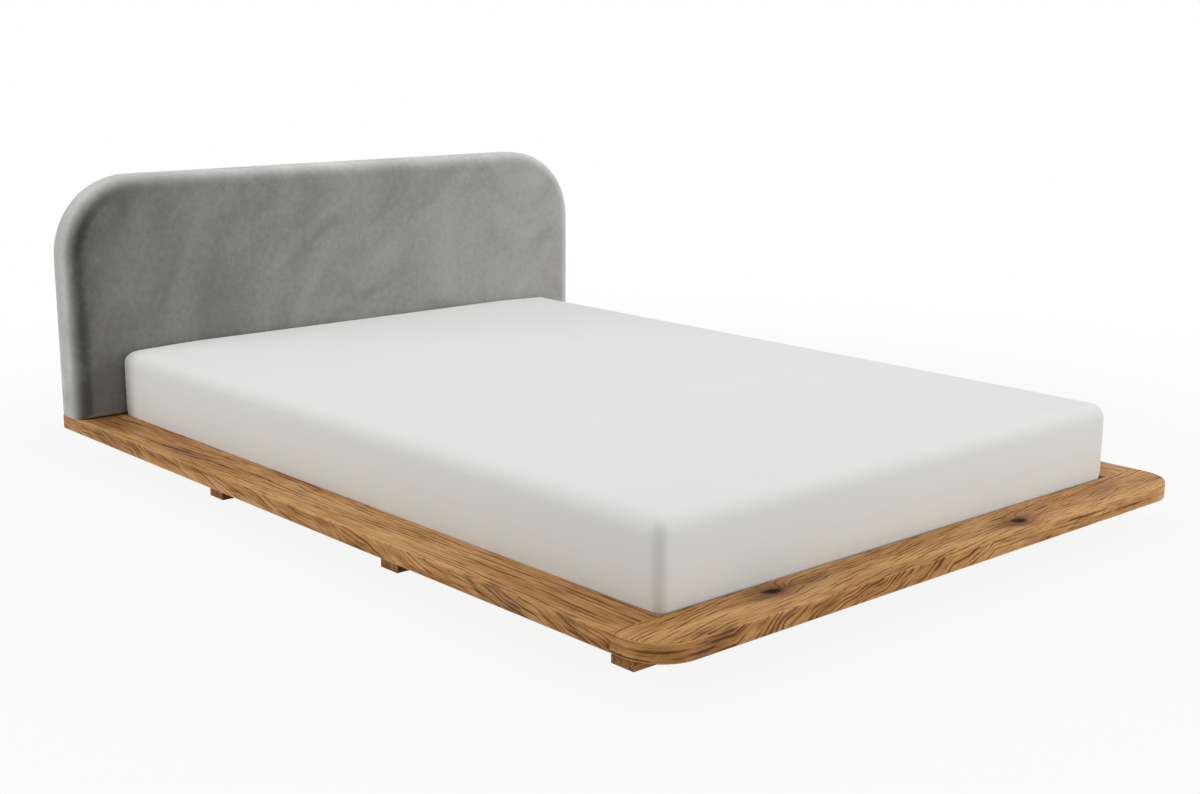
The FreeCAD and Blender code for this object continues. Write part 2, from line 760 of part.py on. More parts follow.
doc.recompute()
failed = [item.Label for item in doc.Objects if {"Invalid", "Error"} & set(item.State)]
if failed:
    raise RuntimeError(f"objects that failed: {failed}")
for item in nodes:
    if item.Shape.isNull() or not item.Shape.isValid():
        raise RuntimeError(f"bad shape: {item.Label}")
for item in nodes:
    item.Shape.exportStep(f"parts/{item.Label}.step")
    print(item.Label, len(item.Shape.Solids), "solids", round(item.Shape.Volume / 1000), "cm3")
print(len(nodes), "sub-parts, frame", round(FRAME_WIDTH.number), "by", round(FRAME_LENGTH.number),
      "height", round(HEADBOARD_TOP_Z.number))
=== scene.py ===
# %% [markdown]
# A floating bed, dressed for its picture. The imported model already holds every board, slat, beam and screw
# in its true place. This lesson adds what solids alone can't show: oak with its grain and knots, a mattress
# and a headboard that look stuffed, the nap of velvet, and soft studio light. Nothing here moves or resizes
# a solid.

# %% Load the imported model
import math

import bpy
import numpy as np
from mathutils import Matrix, Vector


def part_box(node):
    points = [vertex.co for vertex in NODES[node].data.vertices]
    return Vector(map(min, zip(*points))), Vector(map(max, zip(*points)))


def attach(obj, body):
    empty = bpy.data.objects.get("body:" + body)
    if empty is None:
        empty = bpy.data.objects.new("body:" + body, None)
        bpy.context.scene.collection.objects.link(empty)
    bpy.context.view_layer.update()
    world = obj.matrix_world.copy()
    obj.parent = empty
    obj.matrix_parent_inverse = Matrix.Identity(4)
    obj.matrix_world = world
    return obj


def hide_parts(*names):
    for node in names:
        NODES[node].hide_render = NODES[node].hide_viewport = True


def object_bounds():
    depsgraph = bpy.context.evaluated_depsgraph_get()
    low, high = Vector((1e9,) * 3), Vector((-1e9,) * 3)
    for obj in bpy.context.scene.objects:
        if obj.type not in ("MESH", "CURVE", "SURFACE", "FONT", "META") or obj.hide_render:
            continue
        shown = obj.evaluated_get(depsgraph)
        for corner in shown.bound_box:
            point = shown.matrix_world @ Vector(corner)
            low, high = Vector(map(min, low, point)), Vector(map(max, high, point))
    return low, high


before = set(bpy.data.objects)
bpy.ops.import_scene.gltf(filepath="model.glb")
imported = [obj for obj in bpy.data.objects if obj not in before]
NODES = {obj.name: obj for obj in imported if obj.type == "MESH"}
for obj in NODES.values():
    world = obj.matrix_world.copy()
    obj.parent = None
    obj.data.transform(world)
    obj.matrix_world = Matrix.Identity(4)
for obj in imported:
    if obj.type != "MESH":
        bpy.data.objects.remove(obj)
SCENE = bpy.context.scene
cad_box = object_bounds()
print(len(NODES), "nodes in a box from", tuple(cad_box[0]), "to", tuple(cad_box[1]))

# %% [markdown]
# The camera stands at the left foot corner, a little above the bed. Its place and turn come from a fit of
# the bed's straight edges to the photograph, so the picture can be compared edge by edge. A camera looks
# along its own minus Z, so it is first tipped up to the horizon and dipped, and then turned to its heading.

# %% Camera
CAMERA_PLACE = (-2.6187, -2.9837, 1.1057)
CAMERA_HEADING = 41.846
CAMERA_DIP = 12.552
CAMERA_ROLL = 0.336
FILM_WIDTH = 36.0
FOCAL_LENGTH = 50.27

heading, dip, roll = (math.radians(angle) for angle in (CAMERA_HEADING, CAMERA_DIP, CAMERA_ROLL))
tipped = Matrix.Rotation(math.pi / 2 - dip, 4, "X") @ Matrix.Rotation(roll, 4, "Z")
camera = bpy.data.objects.new("photo_camera", bpy.data.cameras.new("photo_camera"))
camera.data.sensor_width = FILM_WIDTH
camera.data.lens = FOCAL_LENGTH
camera.matrix_world = Matrix.Translation(CAMERA_PLACE) @ Matrix.Rotation(-heading, 4, "Z") @ tipped
SCENE.collection.objects.link(camera)
SCENE.camera = camera
print("camera at", CAMERA_PLACE, "looking", CAMERA_HEADING, "degrees to the right of the bed's length")

# %% [markdown]
# Materials are built from nodes, and a long graph of links is hard to read. So one small class wraps a
# node's output socket: adding or multiplying two of them adds a Math node, and every other kind of node
# comes from a single method. A material then reads like a formula.

# %% Sockets that can be calculated with
def plug(socket, value):
    """Link a wire to an input socket, or set the socket to a plain value."""
    if isinstance(value, Wire):
        socket.id_data.links.new(value.socket, socket)
    else:
        socket.default_value = value


class Wire:
    """An output socket. Arithmetic on it adds Math nodes to its tree, and node() adds any other node."""

    def __init__(self, socket):
        self.socket = socket

    def node(self, kind, settings=None, sockets=None, output=0):
        """A new node in the same tree: its settings first, then a value or a wire for each input."""
        made = self.socket.id_data.nodes.new("ShaderNode" + kind)
        for name, value in (settings or {}).items():
            if name == "stops":
                self.set_stops(made.color_ramp.elements, value)
            else:
                setattr(made, name, value)
        for name, value in (sockets or {}).items():
            plug(made.inputs[name], value)
        return Wire(made.outputs[output])

    @staticmethod
    def set_stops(elements, stops):
        """Give a colour ramp its stops, each a position and a colour."""
        while len(elements) < len(stops):
            elements.new(1.0)
        for element, (position, colour) in zip(elements, stops):
            element.position = position
            element.color = colour

    def maths(self, operation, *others):
        """This wire through a Math node, with any other values after it."""
        return self.node("Math", {"operation": operation}, dict(enumerate((self, *others))))

    def fade(self, low, high):
        """0 at low, 1 at high and a smooth step between; the high end may be the smaller number."""
        sockets = {"Value": self, "From Min": low, "From Max": high}
        return self.node("MapRange", {"interpolation_type": "SMOOTHSTEP"}, sockets)

    def __add__(self, other):
        return self.maths("ADD", other)

    def __sub__(self, other):
        return self.maths("SUBTRACT", other)

    def __rsub__(self, other):
        return self.maths("MULTIPLY_ADD", -1.0, other)

    def __mul__(self, other):
        return self.maths("MULTIPLY", other)

    def __truediv__(self, other):
        return self.maths("DIVIDE", other)

    def __pow__(self, other):
        return self.maths("POWER", other)

    __radd__ = __add__
    __rmul__ = __mul__


print("node arithmetic ready")

# %% [markdown]
# A few kinds of node come up in every finish: a mix of two colours, a vector from three numbers and back,
# and a noise. A finish always ends in the same way too, with a colour, a roughness and a bump that all
# vary, so that no surface is flat.

# %% Helpers for finishes
def rgb(red, green, blue):
    """A solid colour, in linear light."""
    return (red, green, blue, 1.0)


def mix(factor, first, second):
    """A colour between two, by a factor. The Mix node's sockets share names, so they go by number."""
    return factor.node("Mix", {"data_type": "RGBA"}, {0: factor, 6: first, 7: second}, 2)


def vector(x, y, z):
    """Three numbers as one vector."""
    return x.node("CombineXYZ", sockets={"X": x, "Y": y, "Z": z})


def split(place):
    """The three numbers of a vector."""
    return [place.node("SeparateXYZ", sockets={0: place}, output=axis) for axis in "XYZ"]


def noise(place, scale=1.0, detail=2.0, roughness=0.5, output="Fac"):
    """A cloudy noise about the middle of 0 to 1, with so many levels of detail."""
    sockets = {"Vector": place, "Scale": scale, "Detail": detail, "Roughness": roughness}
    return place.node("TexNoise", sockets=sockets, output=output)


def new_finish(name, constants=None):
    """A material with constants set on its shader; returns it, its shader and the place on the bed."""
    material = bpy.data.materials.new(name)
    material.use_nodes = True
    shader = material.node_tree.nodes["Principled BSDF"]
    for socket, value in (constants or {}).items():
        shader.inputs[socket].default_value = value
    coordinates = material.node_tree.nodes.new("ShaderNodeTexCoord")
    return material, shader, Wire(coordinates.outputs["Object"])


def look(shader, colour, roughness, height, distance, strength):
    """Plug a colour, a roughness and a bump into a shader; a height of 1 is the distance in metres."""
    normal = height.node("Bump", sockets={"Height": height, "Distance": distance, "Strength": strength})
    plug(shader.inputs["Base Color"], colour)
    plug(shader.inputs["Roughness"], roughness)
    plug(shader.inputs["Normal"], normal)
    return normal


def show(material, shader):
    """Make a shader the one that a material shows."""
    plug(material.node_tree.nodes["Material Output"].inputs["Surface"], shader)


print("finish helpers ready")

# %% [markdown]
# The photograph has a bare white ground. A pale floor catches a soft shadow, and rays that come straight
# from the camera see it whiter than other rays do, wholly white away from the bed, so that the background
# is white with no more light on the bed. Well in under the bed, where only a gap between slats can show it,
# it keeps its shade.

# %% White floor
FLOOR_HALF = 30.0
FLOOR_COLOUR = rgb(0.62, 0.62, 0.62)
FLOOR_ROUGHNESS = 0.9
FLOOR_WHITE_SHARE = 0.90
FLOOR_SHADED_SHARE = 0.10
SHADOW_REACH = (1.4, 3.2)
UNDER_BED = (-0.55, -0.25)


def seen_directly(tree):
    """1 on rays from the camera, a mirror or glass, and 0 on rays that only carry light."""
    seen = Wire(tree.nodes.new("ShaderNodeLightPath").outputs["Is Camera Ray"])
    for ray in ("Is Glossy Ray", "Is Transmission Ray"):
        seen = seen.maths("MAXIMUM", seen.node("LightPath", output=ray))
    return seen


def white_share(place):
    """How much of the floor's look is plain white: little under the bed, most beside it, all far off."""
    distance = place.node("VectorMath", {"operation": "LENGTH"}, {0: place}, "Value")
    x, y = split(place)[:2]
    beyond_side = x.maths("ABSOLUTE") - cad_box[1][0]
    beyond_edge = beyond_side.maths("MAXIMUM", y.maths("ABSOLUTE") - cad_box[1][1])
    near = FLOOR_SHADED_SHARE + (FLOOR_WHITE_SHARE - FLOOR_SHADED_SHARE) * beyond_edge.fade(*UNDER_BED)
    return near + (1 - FLOOR_WHITE_SHARE) * distance.fade(*SHADOW_REACH)


def make_floor():
    """One square at height 0, whose shader is mixed with white light for rays that see it directly."""
    corners = [(x * FLOOR_HALF, y * FLOOR_HALF, 0.0) for x, y in ((-1, -1), (1, -1), (1, 1), (-1, 1))]
    mesh = bpy.data.meshes.new("floor")
    mesh.from_pydata(corners, [], [(0, 1, 2, 3)])
    floor = bpy.data.objects.new("floor", mesh)
    SCENE.collection.objects.link(floor)
    constants = {"Base Color": FLOOR_COLOUR, "Roughness": FLOOR_ROUGHNESS}
    material, shader, place = new_finish("pale_floor", constants)
    factor = seen_directly(material.node_tree) * white_share(place)
    white = factor.node("Emission", sockets={"Strength": 1.0})
    show(material, factor.node("MixShader", sockets={0: factor, 1: Wire(shader.outputs[0]), 2: white}))
    mesh.materials.append(material)


make_floor()
print("floor of", 2 * FLOOR_HALF, "m, white from", SHADOW_REACH[1], "m off")

# %% [markdown]
# Light comes from broad round lamps, as in a photo studio: one overhead, one at the right of the foot and
# one at the left of the head. The mattress corner that points at the camera then stays a little darker than
# the faces beside it. The world adds an even light from all sides, and where it is seen it is white.

# %% World and lamps
WORLD_STRENGTH = 0.43
# For each lamp its place, the point it aims at, its width in metres and its power in watts.
LAMPS = {
    "overhead_softbox": ((0.0, 0.0, 3.4), (0.0, 0.0, 0.0), 4.4, 59.0),
    "foot_right_softbox": ((3.6, -7.7, 1.7), (0.0, -0.6, 0.2), 3.2, 234.0),
    "head_left_softbox": ((-7.0, 3.5, 1.6), (-0.5, 0.0, 0.2), 3.2, 172.0),
}


def make_world():
    """A world that is white where it is seen and gives the bed a weaker even light."""
    world = bpy.data.worlds.new("studio")
    world.use_nodes = True
    seen = seen_directly(world.node_tree)
    background = world.node_tree.nodes["Background"]
    plug(background.inputs["Color"], rgb(1.0, 1.0, 1.0))
    plug(background.inputs["Strength"], seen + (1 - seen) * WORLD_STRENGTH)
    SCENE.world = world


def make_lamp(name, place, target, width, power):
    """A round area lamp; it shines along its own minus Z, which is turned to the target."""
    lamp = bpy.data.lights.new(name, "AREA")
    lamp.shape = "DISK"
    lamp.size = width
    lamp.energy = power
    holder = bpy.data.objects.new(name, lamp)
    aim = (Vector(target) - Vector(place)).to_track_quat("-Z", "Y").to_matrix().to_4x4()
    holder.matrix_world = Matrix.Translation(place) @ aim
    holder.visible_camera = False
    SCENE.collection.objects.link(holder)


make_world()
for lamp_name, lamp in LAMPS.items():
    make_lamp(lamp_name, *lamp)
SCENE.view_settings.view_transform = "Standard"
print(len(LAMPS), "soft lamps over a pale floor")

# %% [markdown]
# Oak is a stack of growth rings round the heart of a tree, and a board is a slice through them. A flat
# picture of wood looks wrong where a board turns a corner, so the rings are worked out in space instead: a
# dark line comes once in every gap of the distance from the heart. Knots and stains are long round spots,
# found by how far a point lies from their middles.

# %% Growth rings and spots
# A ring's steps through the noise, the noise at which a line breaks, and the full dark share of its width.
RING_STRIDE = (7.31, 1.7)
RING_BREAK = (0.42, 0.60)
LINE_CORE = 0.25


def farness(length, across, spot):
    """0 in the middle of a long round spot and 1 on its rim: the squared shares of its half sizes, added.

    A spot is its place along and across, its half length and its half width.
    """
    spot_length, spot_across, half_length, half_width = spot
    along_share = (length - spot_length) / half_length
    across_share = (across - spot_across) / half_width
    return along_share ** 2.0 + across_share ** 2.0


def nearness(far, spread):
    """1 in the middle of a spot, a half where the farness is the spread, and 0 far off."""
    return (1 + (far / spread) ** 2.0) ** -1.0


def ring_lines(radius, gap, log, width, breaks):
    """A dark line once in every gap of the radius, broken along the log about so many times in a metre.

    The width is half the line's width as a share of the gap. Each ring has a place of its own in the noise
    that breaks it.
    """
    phase = radius / gap
    ring = phase.maths("FLOOR")
    line = (phase.maths("FRACT") - 0.5).maths("ABSOLUTE").fade(width, width * LINE_CORE)
    own_place = vector(ring * RING_STRIDE[0], log * breaks, ring * RING_STRIDE[1])
    return line * noise(own_place, detail=3.0).fade(*RING_BREAK)


def grain_noise(place, stretch, **settings):
    """A noise that repeats about so often in a metre along, across and up the grain."""
    return noise(vector(*(axis * often for axis, often in zip(place, stretch))), **settings)


print("ring and spot helpers ready")

# %% [markdown]
# A board's own axes come first: along, across and up from its middle, with the grain along X. Marks are
# painted over the finished colour: a stain is a dark streak that follows the grain, and a knot has a wide
# brown rim round a dark, dull heart.

# %% Board axes, stains and knots
STAIN = rgb(0.100, 0.040, 0.020)
KNOT_HEART = rgb(0.014, 0.009, 0.010)
KNOT_RIM = rgb(0.150, 0.048, 0.018)
KNOT_RIM_REACH = 7.0


def board_axes(place, grain_turn, middle):
    """Places along, across and up from a board's middle, after a turn that lays its grain along X."""
    offset = Matrix.Rotation(grain_turn, 3, "Z") @ Vector(middle)
    sockets = {"Vector": place, "Rotation": (0.0, 0.0, grain_turn), "Location": tuple(-offset)}
    return split(place.node("Mapping", sockets=sockets))


def paint_stains(colour, stains, length, across, strength):
    """A colour with dark streaks mixed in, by their nearness times a strength."""
    for stain in stains:
        mark = nearness(farness(length, across, stain), 1.0)
        colour = mix(mark * strength, colour, STAIN)
    return colour


def paint_knots(colour, roughness, spots, lines, ripple):
    """A colour and a roughness with knots mixed in: a wide brown rim, and a dark heart that is duller."""
    for far in spots:
        core = (far + ripple * 2.5).fade(2.0, 0.0)
        rim = nearness(far, KNOT_RIM_REACH) * (0.75 + lines * 0.3 + ripple)
        colour = mix(core, mix(rim, colour, KNOT_RIM), KNOT_HEART)
        roughness = roughness + core * 0.4
    return colour, roughness


print("board helpers ready")

# %% [markdown]
# The heart line runs beside the board and sways a little, so the rings give long lines and arches on the
# wide face. The narrow sides are cut steeper across the grain: their lines are short and slanting, and
# they run level round a rounded end. Blotches on the sides add real patches and also darken them on
# average, as painted shade, and a paler band along their rounded edges is a painted highlight. Knots push
# the rings aside. All of it adds up to one tone, which a ramp turns into wood colours from pale to dark.

# %% Oak finish
OAK_STOPS = ((0.08, rgb(0.660, 0.375, 0.150)), (0.40, rgb(0.450, 0.220, 0.068)),
             (0.76, rgb(0.205, 0.074, 0.015)), (1.0, rgb(0.095, 0.031, 0.007)))
OAK_GLOSS = 0.14
OAK_RELIEF = 0.0005
# Gaps between lines in metres, and half the width of a line as a share of its gap.
RING_GAP, RING_WIDTH = 0.0085, 0.26
FINE_GAP, FINE_WIDTH = 0.0045, 0.36
SIDE_GAP, SIDE_WIDTH = 0.0088, 0.30
SIDE_BREAKS = 8.0
FINE_SHIFT = 3.0
# How far noises move the heart line, the lines and the stains, in metres.
HEART_SWAY = (0.05, 0.09)
RING_RIPPLE = 0.008
SIDE_RIPPLE = 0.006
SIDE_SWAY = 0.03
SIDE_BEND = 0.24
STAIN_RIPPLE = 0.02
# Metres that a stain leans along for each metre up a side, and half widths that a knot pushes rings.
STAIN_LEAN = 2.2
KNOT_PUSH = 2.0
KNOT_PUSH_REACH = 5.0
# Heights from a board's middle between which its side and its pale edge band, a painted highlight, begin.
BOARD_HALF = (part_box("foot_rail")[1].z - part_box("foot_rail")[0].z) / 2
SIDE_BAND = (BOARD_HALF - 0.0005, BOARD_HALF - 0.0030)
EDGE_HIGHLIGHT_BAND = (BOARD_HALF - 0.0055, BOARD_HALF - 0.0015)
# How often each noise repeats in a metre along, across and up the grain.
SWAY = (1.8, 5.0, 9.0)
RIPPLE = (12.0, 48.0, 48.0)
BEND = (5.0, 5.0, 8.0)
BROAD = (2.2, 13.0, 24.0)
BLOTCH = (11.0, 13.0, 30.0)
FIBRE = (14.0, 260.0, 260.0)
DASH = (16.0, 310.0, 310.0)


def oak(name, grain_turn, middle, heart, drift, seed, breaks=4.0, side_slope=0.0, slant_span=(0.0, 0.0),
        side_share=1.0, shade=0.0, knots=(), stains=()):
    """Oak for one board, whose grain runs along X, or along Y after a quarter turn.

    The heart is how far the tree's heart line lies from the board's middle across and up, the drift is how
    much it moves across and up for each metre along, and the seed is a place on the log, so that no two
    boards are alike. Breaks says how often in a metre a line breaks off. On the narrow sides the lines
    climb by the side slope within the slant span, measured along from the board's middle, and run level
    beyond it; a beam has a side share of 0 instead. Shade darkens the whole board. Knots and stains are
    spots, each (along, across, half length, half width).
    """
    material, shader, place = new_finish(name, {"Specular IOR Level": OAK_GLOSS})
    length, across, height = board_axes(place, grain_turn, middle)
    log = length + seed
    on_face = log, across, height
    sway = split(grain_noise(on_face, SWAY, output="Color"))
    ripple = grain_noise(on_face, RIPPLE, detail=3.0) - 0.5
    spots = [farness(length, across + ripple * knot[3], knot) for knot in knots]

    # The distance from the swaying heart line, pushed outward round knots.
    from_heart = across - heart[0] - length * drift[0] + (sway[0] - 0.5) * HEART_SWAY[0]
    above_heart = height - heart[1] - length * drift[1] + (sway[1] - 0.5) * HEART_SWAY[1]
    radius = (from_heart ** 2.0 + above_heart ** 2.0) ** 0.5 + ripple * RING_RIPPLE
    for far, knot in zip(spots, knots):
        radius = radius + nearness(far, KNOT_PUSH_REACH) * (knot[3] * KNOT_PUSH)

    # The climbing grain of the narrow sides.
    side = height.maths("ABSOLUTE").fade(*SIDE_BAND) * side_share
    bend = grain_noise(on_face, BEND) - 0.5
    slanting = (length + bend * SIDE_BEND).maths("MAXIMUM", slant_span[0]).maths("MINIMUM", slant_span[1])
    grain_up = height - slanting * side * side_slope
    in_grain = log, across * (1 - side), grain_up
    rippled_up = grain_up + ripple * SIDE_RIPPLE + sway[1] * SIDE_SWAY

    # Lines from the rings, and tones and fibres from noises.
    face_lines = ring_lines(radius, RING_GAP, log, RING_WIDTH, breaks)
    side_lines = ring_lines(rippled_up, SIDE_GAP, log, SIDE_WIDTH, SIDE_BREAKS)
    lines = face_lines * (1 - side) + side_lines * side
    fine_lines = ring_lines(radius, FINE_GAP, log + FINE_SHIFT, FINE_WIDTH, breaks)
    broad = grain_noise(on_face, BROAD, detail=4.0, roughness=0.6).fade(0.30, 0.70)
    blotch_and_side_shade = grain_noise(in_grain, BLOTCH, detail=3.0).fade(0.35, 0.65)
    fibre = grain_noise(in_grain, FIBRE).fade(0.30, 0.70)
    dash = grain_noise(in_grain, DASH, detail=1.0).fade(0.56, 0.68)
    # A paler band along the rounded edges of the narrow sides: a painted highlight.
    edge_highlight = side * height.maths("ABSOLUTE").fade(*EDGE_HIGHLIGHT_BAND)

    # The sum of their shares is the tone, from pale to dark.
    tone = shade + broad * 0.38 + fibre * 0.16 + lines * 0.46 + fine_lines * 0.10 + dash * 0.30
    # On the narrow sides the blotches add real patches and, on average, a painted shade that darkens them.
    tone = tone + side * blotch_and_side_shade * 0.20 - edge_highlight * 0.35
    colour = tone.node("ValToRGB", {"stops": OAK_STOPS}, {"Fac": tone})
    leaning = length - height * side * STAIN_LEAN
    strength = 0.30 + lines * 0.35 + fibre * 0.35
    colour = paint_stains(colour, stains, leaning, across + ripple * STAIN_RIPPLE, strength)
    roughness = 0.48 + lines * 0.10 + fibre * 0.10
    colour, roughness = paint_knots(colour, roughness, spots, lines, ripple)
    relief = 1 - lines * 0.6 - dash * 0.4 - fibre * 0.2
    look(shader, colour, roughness, relief, distance=OAK_RELIEF, strength=0.6)
    return material


print("oak has a ring every", RING_GAP * 1000, "mm on boards of", round(BOARD_HALF * 2000, 1), "mm")

# %% [markdown]
# Each board is its own slice. The side boards are cut so that their lines run straight along the bed. The
# foot board is cut nearer the heart, so its lines slant and arch, and it carries two knots. Dark streaks
# mark the tops of the left and the foot board, and patches their outer sides. The beams have upright rings
# at their ends, which are all that shows of them, and they are painted darker as painted shade for the
# shadow under the boards.

# %% Oak boards and beams
QUARTER_TURN = -math.pi / 2
# Spots on the boards: place along and across from the board's middle, half length and half width.
LEFT_STREAKS = ((0.90, 0.010, 0.120, 0.045), (0.49, 0.012, 0.075, 0.010), (0.335, 0.009, 0.060, 0.006),
                (0.215, -0.002, 0.060, 0.006), (0.03, -0.007, 0.030, 0.004))
LEFT_PATCHES = ((-0.695, 0.060, 0.012, 0.006), (-0.785, 0.060, 0.026, 0.006),
                (-0.962, 0.060, 0.016, 0.005))
FOOT_KNOTS = ((-0.459, 0.020, 0.021, 0.013), (0.257, -0.014, 0.019, 0.013))
FOOT_STREAKS = ((-0.495, 0.012, 0.030, 0.010), (-0.370, 0.016, 0.060, 0.014),
                (0.215, -0.008, 0.040, 0.012), (-0.705, -0.045, 0.030, 0.007))
FOOT_PATCHES = ((-0.690, -0.060, 0.014, 0.006), (-0.519, -0.060, 0.010, 0.006),
                (-0.395, -0.060, 0.014, 0.006))
OAK_BOARDS = {
    "left_side_rail": {
        "grain_turn": QUARTER_TURN, "heart": (-0.22, -0.18), "drift": (0.010, 0.0), "seed": 4.9,
        "side_slope": 0.34, "slant_span": (-1.2, 1.2), "side_share": 0.8,
        "stains": LEFT_STREAKS + LEFT_PATCHES},
    "right_side_rail": {
        "grain_turn": QUARTER_TURN, "heart": (0.22, -0.18), "drift": (0.012, 0.0), "seed": 8.3,
        "side_slope": -0.34, "slant_span": (-1.2, 1.2), "side_share": 0.8},
    "foot_rail": {
        "grain_turn": 0.0, "heart": (-0.25, -0.12), "drift": (0.10, 0.14), "seed": 15.1,
        "breaks": 8.0, "side_slope": 0.36, "slant_span": (-0.68, 0.10), "shade": -0.03,
        "knots": FOOT_KNOTS, "stains": FOOT_STREAKS + FOOT_PATCHES},
    "head_rail": {
        "grain_turn": 0.0, "heart": (0.05, -0.15), "drift": (0.02, 0.03), "seed": 21.9},
}


def dress(material, *names):
    """Give CAD nodes a finish."""
    for name in names:
        NODES[name].data.materials.clear()
        NODES[name].data.materials.append(material)


def node_middle(name):
    """The middle of a CAD node's box."""
    low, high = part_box(name)
    return (low + high) / 2


for board, choice in OAK_BOARDS.items():
    dress(oak("oak_" + board, middle=node_middle(board), **choice), board)
# The beams' shade of 0.28 is painted shade, for the shadow they stand in under the boards.
beam_oak = oak("oak_beams", 0.0, node_middle("cross_beam_middle"), heart=(0.30, 0.02), drift=(0.01, 0.0),
               seed=31.3, side_share=0.0, shade=0.28)
dress(beam_oak, "cross_beam_foot", "cross_beam_middle", "cross_beam_head")
spine_oak = oak("oak_spine", QUARTER_TURN, node_middle("centre_spine"), heart=(0.20, 0.07),
                drift=(0.01, 0.0), seed=37.7, side_share=0.0)
dress(spine_oak, "centre_spine")
print("oak on", len(OAK_BOARDS), "boards, three beams and the spine")

# %% [markdown]
# The pieces under the mattress and inside the headboard are plain and cheaper: pine slats, ledgers and
# battens, plywood panels, beech dowels, and zinc-plated steel. Slats, ledgers and screws show when the
# mattress is lifted, and the rest stays hidden, but every piece has its finish.

# %% Pine, plywood, beech and zinc
SLAT_COUNT = 16
SLATS = [f"slat_{number:02d}" for number in range(1, SLAT_COUNT + 1)]
LEDGERS = [f"{side}_ledger_{bay}" for side in ("left", "right") for bay in ("foot", "middle", "head")]
BATTENS = ["headboard_bottom_batten", "headboard_top_batten"]
UPRIGHTS = ["headboard_" + piece for piece in
            ("centre_post", "left_post", "right_post", "left_corner_block", "right_corner_block")]
PANELS = ["headboard_front_panel", "headboard_back_panel"]
STEEL = ["beam_screws", "ledger_screws", "slat_screws", "spine_screws", "plate_screws", "corner_plates",
         "headboard_bolts", "headboard_inserts"]
PINE_COLOURS = rgb(0.720, 0.530, 0.310), rgb(0.500, 0.300, 0.130)
PLYWOOD_COLOURS = rgb(0.640, 0.450, 0.260), rgb(0.400, 0.240, 0.120)
BEECH_COLOURS = rgb(0.660, 0.440, 0.270), rgb(0.480, 0.280, 0.150)
ZINC_COLOURS = rgb(0.580, 0.590, 0.620), rgb(0.720, 0.730, 0.740)
# How often a pattern repeats in a metre: along and across pine's grain, and on each axis for the others.
PINE_ALONG = 2.0
PINE_ACROSS = 110.0
PLYWOOD_STRETCH = (4.0, 700.0, 60.0)
BEECH_STRETCH = (40.0, 40.0, 40.0)
SPANGLE_SCALE = 420.0


def plain_wood(name, stretch, colours):
    """Straight-grained wood: a noise drawn out along the grain for its lines, a finer one for fibres."""
    material, shader, place = new_finish(name, {"Specular IOR Level": 0.3})
    grain = place.node("Mapping", sockets={"Vector": place, "Scale": stretch})
    lines = noise(grain, detail=3.0, roughness=0.55).fade(0.42, 0.66)
    fibre = noise(grain, 6.0)
    colour = mix(lines * 0.55 + fibre * 0.35, *colours)
    relief = 1 - fibre * 0.5 - lines * 0.3
    look(shader, colour, 0.55 + fibre * 0.15, relief, distance=0.0004, strength=0.5)
    return material


def zinc(name):
    """Zinc-plated steel: metal with a faint mottled spangle."""
    material, shader, place = new_finish(name, {"Metallic": 1.0})
    spangle = place.node("TexVoronoi", sockets={"Vector": place, "Scale": SPANGLE_SCALE}, output="Color")
    level = split(spangle)[0]
    colour = mix(level, *ZINC_COLOURS)
    look(shader, colour, 0.28 + level * 0.14, level, distance=0.00002, strength=1.0)
    return material


dress(plain_wood("pine_across", (PINE_ALONG, PINE_ACROSS, PINE_ACROSS), PINE_COLOURS), *SLATS, *BATTENS)
dress(plain_wood("pine_lengthwise", (PINE_ACROSS, PINE_ALONG, PINE_ACROSS), PINE_COLOURS), *LEDGERS)
dress(plain_wood("pine_upright", (PINE_ACROSS, PINE_ACROSS, PINE_ALONG), PINE_COLOURS), *UPRIGHTS)
dress(plain_wood("plywood", PLYWOOD_STRETCH, PLYWOOD_COLOURS), *PANELS)
dress(plain_wood("beech", BEECH_STRETCH, BEECH_COLOURS), "joint_dowels")
dress(zinc("zinc_plated_steel"), *STEEL)
print(len(SLATS + LEDGERS + BATTENS + UPRIGHTS), "pine pieces,", len(STEEL), "steel nodes")

# %% [markdown]
# The mattress, the headboard and its back cloth are all rounded oblongs, so one outline serves them:
# straight sides joined by quarter arcs. It is cut into four sides at the middles of its arcs, because a
# patch needs four sides.

# %% Rounded outlines
SMALLEST_ROUND = 0.003


